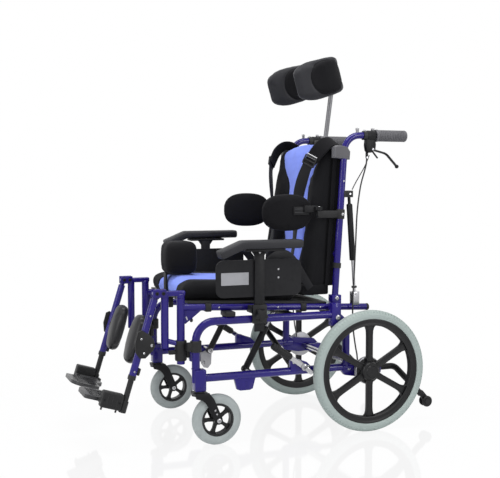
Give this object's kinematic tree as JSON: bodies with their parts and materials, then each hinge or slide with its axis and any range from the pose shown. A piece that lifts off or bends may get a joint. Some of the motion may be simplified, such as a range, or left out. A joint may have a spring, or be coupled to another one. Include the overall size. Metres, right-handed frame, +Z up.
{
  "type": "tilting and reclining wheelchair",
  "caption": "Tilting and reclining manual wheelchair with headrest, side supports, padded arms, elevating leg rests, swivel casters and small grey-tyred rear wheels.",
  "frame": {"origin": "Centre of the footprint at floor level, below the middle of the wheelchair.", "axes": "+Z up; the chair faces -Y; its left side is +X."},
  "size_m": [0.64, 1.1902, 1.2412],
  "materials": {
    "frame_blue": "glossy",
    "black_metal": "satin",
    "black_plastic": "matte",
    "silver": "satin",
    "tyre_grey": "matte",
    "blue_cloth": "matte",
    "black_cloth": "matte",
    "arm_foam": "matte"
  },
  "bodies": {
    "base": {"side_frame_L": "frame_blue", "side_frame_R": "frame_blue", "cross_frame": "black_metal", "rear_axle": "silver", "anti_tip_tube_L": "black_metal", "anti_tip_tube_R": "black_metal"},
    "caster_fork_L": {"caster_fork_L": "black_metal"},
    "caster_wheel_L": {"caster_wheel_L": "tyre_grey"},
    "rear_wheel_L": {"rear_wheel_L": "black_plastic", "rear_tyre_L": "tyre_grey"},
    "anti_tip_roller_L": {"anti_tip_roller_L": "black_plastic"},
    "parking_brake_L": {"parking_brake_L": "black_plastic"},
    "tilt_cylinder_L": {"tilt_cylinder_L": "black_metal"},
    "tilt_rod_L": {"tilt_rod_L": "silver"},
    "caster_fork_R": {"caster_fork_R": "black_metal"},
    "caster_wheel_R": {"caster_wheel_R": "tyre_grey"},
    "rear_wheel_R": {"rear_wheel_R": "black_plastic", "rear_tyre_R": "tyre_grey"},
    "anti_tip_roller_R": {"anti_tip_roller_R": "black_plastic"},
    "parking_brake_R": {"parking_brake_R": "black_plastic"},
    "tilt_cylinder_R": {"tilt_cylinder_R": "black_metal"},
    "tilt_rod_R": {"tilt_rod_R": "silver"},
    "seat": {"seat_rail_L": "frame_blue", "seat_rail_R": "frame_blue", "seat_pan": "black_plastic", "seat_cushion": "blue_cloth"},
    "pommel": {"pommel": "black_cloth"},
    "armrest_L": {"armrest_post_L": "black_metal", "armrest_pad_L": "arm_foam", "side_panel_L": "black_plastic"},
    "hanger_L": {"hanger_L": "frame_blue"},
    "leg_tube_L": {"leg_tube_L": "frame_blue"},
    "leg_slide_L": {"leg_slide_L": "black_metal"},
    "footplate_L": {"footplate_L": "black_plastic"},
    "calf_pad_L": {"calf_pad_L": "black_cloth"},
    "armrest_R": {"armrest_post_R": "black_metal", "armrest_pad_R": "arm_foam", "side_panel_R": "black_plastic"},
    "hanger_R": {"hanger_R": "frame_blue"},
    "leg_tube_R": {"leg_tube_R": "frame_blue"},
    "leg_slide_R": {"leg_slide_R": "black_metal"},
    "footplate_R": {"footplate_R": "black_plastic"},
    "calf_pad_R": {"calf_pad_R": "black_cloth"},
    "back": {"back_frame": "frame_blue", "back_cushion": "blue_cloth", "hand_grip_L": "black_plastic", "hand_grip_R": "black_plastic", "brake_cable_L": "black_plastic", "brake_cable_R": "black_plastic"},
    "hand_brake_lever_L": {"hand_brake_lever_L": "black_metal"},
    "recline_rod_L": {"recline_rod_L": "silver"},
    "recline_cylinder_L": {"recline_cylinder_L": "black_metal"},
    "lateral_support_L": {"lateral_support_L": "black_cloth"},
    "hand_brake_lever_R": {"hand_brake_lever_R": "black_metal"},
    "recline_rod_R": {"recline_rod_R": "silver"},
    "recline_cylinder_R": {"recline_cylinder_R": "black_metal"},
    "lateral_support_R": {"lateral_support_R": "black_cloth"},
    "headrest_bar": {"headrest_bar": "silver"},
    "headrest_pad": {"headrest_pad": "black_cloth"}
  },
  "joints": [
    {"name": "seat_tilt", "type": "hinge", "parent": "base", "child": "seat", "pos_m": [0, 0.213, 0.378], "axis": [-1, 0, 0], "range_deg": [0, 25], "deforming": ["brake_cable_L", "brake_cable_R"]},
    {"name": "tilt_cylinder_turn_L", "type": "hinge", "parent": "base", "child": "tilt_cylinder_L", "pos_m": [0.1786, -0.0784, 0.216], "axis": [-1, 0, 0], "range_deg": [-2.5, 0]},
    {"name": "tilt_rod_slide_L", "type": "slide", "parent": "tilt_cylinder_L", "child": "tilt_rod_L", "axis": [0, 0.4769, 0.879], "range_m": [0, 0.083]},
    {"name": "tilt_cylinder_turn_R", "type": "hinge", "parent": "base", "child": "tilt_cylinder_R", "pos_m": [-0.1786, -0.0784, 0.216], "axis": [-1, 0, 0], "range_deg": [-2.5, 0]},
    {"name": "tilt_rod_slide_R", "type": "slide", "parent": "tilt_cylinder_R", "child": "tilt_rod_R", "axis": [0, 0.4769, 0.879], "range_m": [0, 0.083]},
    {"name": "back_recline", "type": "hinge", "parent": "seat", "child": "back", "pos_m": [0, 0.2247, 0.437], "axis": [-1, 0, 0], "range_deg": [0, 60], "deforming": ["brake_cable_L", "brake_cable_R"]},
    {"name": "recline_rod_turn_L", "type": "hinge", "parent": "seat", "child": "recline_rod_L", "pos_m": [0.2125, 0.2974, 0.447], "axis": [-1, 0, 0], "range_deg": [0, 69]},
    {"name": "recline_cylinder_slide_L", "type": "slide", "parent": "recline_rod_L", "child": "recline_cylinder_L", "axis": [0, -0.0717, 0.9974], "range_m": [-0.06, 0]},
    {"name": "recline_rod_turn_R", "type": "hinge", "parent": "seat", "child": "recline_rod_R", "pos_m": [-0.2125, 0.2974, 0.447], "axis": [-1, 0, 0], "range_deg": [0, 69]},
    {"name": "recline_cylinder_slide_R", "type": "slide", "parent": "recline_rod_R", "child": "recline_cylinder_R", "axis": [0, -0.0717, 0.9974], "range_m": [-0.06, 0]},
    {"name": "caster_swivel_L", "type": "hinge", "parent": "base", "child": "caster_fork_L", "pos_m": [0.245, -0.2554, 0.164], "axis": [0, 0, 1], "continuous": true},
    {"name": "caster_roll_L", "type": "hinge", "parent": "caster_fork_L", "child": "caster_wheel_L", "pos_m": [0.245, -0.1994, 0.08], "axis": [1, 0, 0], "continuous": true},
    {"name": "rear_wheel_roll_L", "type": "hinge", "parent": "base", "child": "rear_wheel_L", "pos_m": [0.28, 0.3176, 0.2], "axis": [1, 0, 0], "continuous": true},
    {"name": "anti_tip_roll_L", "type": "hinge", "parent": "base", "child": "anti_tip_roller_L", "pos_m": [0.2125, 0.5761, 0.063], "axis": [1, 0, 0], "continuous": true},
    {"name": "parking_brake_L", "type": "hinge", "parent": "base", "child": "parking_brake_L", "pos_m": [0.271, 0.0886, 0.227], "axis": [1, 0, 0], "range_deg": [0, 35]},
    {"name": "armrest_lift_L", "type": "slide", "parent": "seat", "child": "armrest_L", "axis": [0, 0, 1], "range_m": [0, 0.018]},
    {"name": "caster_swivel_R", "type": "hinge", "parent": "base", "child": "caster_fork_R", "pos_m": [-0.245, -0.2554, 0.164], "axis": [0, 0, 1], "continuous": true},
    {"name": "caster_roll_R", "type": "hinge", "parent": "caster_fork_R", "child": "caster_wheel_R", "pos_m": [-0.245, -0.1994, 0.08], "axis": [1, 0, 0], "continuous": true},
    {"name": "rear_wheel_roll_R", "type": "hinge", "parent": "base", "child": "rear_wheel_R", "pos_m": [-0.28, 0.3176, 0.2], "axis": [1, 0, 0], "continuous": true},
    {"name": "anti_tip_roll_R", "type": "hinge", "parent": "base", "child": "anti_tip_roller_R", "pos_m": [-0.2125, 0.5761, 0.063], "axis": [1, 0, 0], "continuous": true},
    {"name": "parking_brake_R", "type": "hinge", "parent": "base", "child": "parking_brake_R", "pos_m": [-0.271, 0.0886, 0.227], "axis": [1, 0, 0], "range_deg": [0, 35]},
    {"name": "armrest_lift_R", "type": "slide", "parent": "seat", "child": "armrest_R", "axis": [0, 0, 1], "range_m": [0, 0.018]},
    {"name": "pommel_lift", "type": "slide", "parent": "seat", "child": "pommel", "axis": [0, 0, 1], "range_m": [0, 0.04]},
    {"name": "hanger_swing_L", "type": "hinge", "parent": "seat", "child": "hanger_L", "pos_m": [0.2125, -0.3044, 0.4599], "axis": [0, 0, 1], "range_deg": [0, 90]},
    {"name": "legrest_elevate_L", "type": "hinge", "parent": "hanger_L", "child": "leg_tube_L", "pos_m": [0.2125, -0.3824, 0.4774], "axis": [-1, 0, 0], "range_deg": [0, 65]},
    {"name": "leg_length_L", "type": "slide", "parent": "leg_tube_L", "child": "leg_slide_L", "axis": [0, -0.2924, -0.9563], "range_m": [0, 0.06]},
    {"name": "footplate_flip_L", "type": "hinge", "parent": "leg_slide_L", "child": "footplate_L", "pos_m": [0.181, -0.48591, 0.13887], "axis": [0, 0.9563, -0.2924], "range_deg": [0, 90]},
    {"name": "calf_pad_tilt_L", "type": "hinge", "parent": "leg_tube_L", "child": "calf_pad_L", "pos_m": [0.2125, -0.42831, 0.32726], "axis": [-1, 0, 0], "range_deg": [-10, 15]},
    {"name": "hanger_swing_R", "type": "hinge", "parent": "seat", "child": "hanger_R", "pos_m": [-0.2125, -0.3044, 0.4599], "axis": [0, 0, -1], "range_deg": [0, 90]},
    {"name": "legrest_elevate_R", "type": "hinge", "parent": "hanger_R", "child": "leg_tube_R", "pos_m": [-0.2125, -0.3824, 0.4774], "axis": [-1, 0, 0], "range_deg": [0, 65]},
    {"name": "leg_length_R", "type": "slide", "parent": "leg_tube_R", "child": "leg_slide_R", "axis": [0, -0.2924, -0.9563], "range_m": [0, 0.06]},
    {"name": "footplate_flip_R", "type": "hinge", "parent": "leg_slide_R", "child": "footplate_R", "pos_m": [-0.181, -0.48591, 0.13887], "axis": [0, -0.9563, 0.2924], "range_deg": [0, 90]},
    {"name": "calf_pad_tilt_R", "type": "hinge", "parent": "leg_tube_R", "child": "calf_pad_R", "pos_m": [-0.2125, -0.42831, 0.32726], "axis": [-1, 0, 0], "range_deg": [-10, 15]},
    {"name": "hand_brake_L", "type": "hinge", "parent": "back", "child": "hand_brake_lever_L", "pos_m": [0.2125, 0.3576, 0.925], "axis": [1, 0, 0], "range_deg": [0, 20], "stiffness_Nm_per_rad": 0.6, "springref_deg": -8.59},
    {"name": "lateral_swing_L", "type": "hinge", "parent": "back", "child": "lateral_support_L", "pos_m": [0.2125, 0.1676, 0.712], "axis": [0, 0, 1], "range_deg": [0, 90]},
    {"name": "hand_brake_R", "type": "hinge", "parent": "back", "child": "hand_brake_lever_R", "pos_m": [-0.2125, 0.3576, 0.925], "axis": [1, 0, 0], "range_deg": [0, 20], "stiffness_Nm_per_rad": 0.6, "springref_deg": -8.59},
    {"name": "lateral_swing_R", "type": "hinge", "parent": "back", "child": "lateral_support_R", "pos_m": [-0.2125, 0.1676, 0.712], "axis": [0, 0, -1], "range_deg": [0, 90]},
    {"name": "headrest_height", "type": "slide", "parent": "back", "child": "headrest_bar", "axis": [0, 0.1322, 0.9912], "range_m": [0, 0.08]},
    {"name": "headrest_tilt", "type": "hinge", "parent": "headrest_bar", "child": "headrest_pad", "pos_m": [0, 0.31745, 1.165], "axis": [-1, 0, 0], "range_deg": [-5, 25]}
  ],
  "couplings": [
    {"joint": "tilt_cylinder_turn_L", "follows": "seat_tilt", "ratio": -0.09102},
    {"joint": "tilt_rod_slide_L", "follows": "seat_tilt", "m_per_rad": 0.18828},
    {"joint": "tilt_cylinder_turn_R", "follows": "seat_tilt", "ratio": -0.09102},
    {"joint": "tilt_rod_slide_R", "follows": "seat_tilt", "m_per_rad": 0.18828},
    {"joint": "recline_rod_turn_L", "follows": "back_recline", "ratio": 1.1426},
    {"joint": "recline_cylinder_slide_L", "follows": "back_recline", "m_per_rad": -0.05538},
    {"joint": "recline_rod_turn_R", "follows": "back_recline", "ratio": 1.1426},
    {"joint": "recline_cylinder_slide_R", "follows": "back_recline", "m_per_rad": -0.05538}
  ]
}
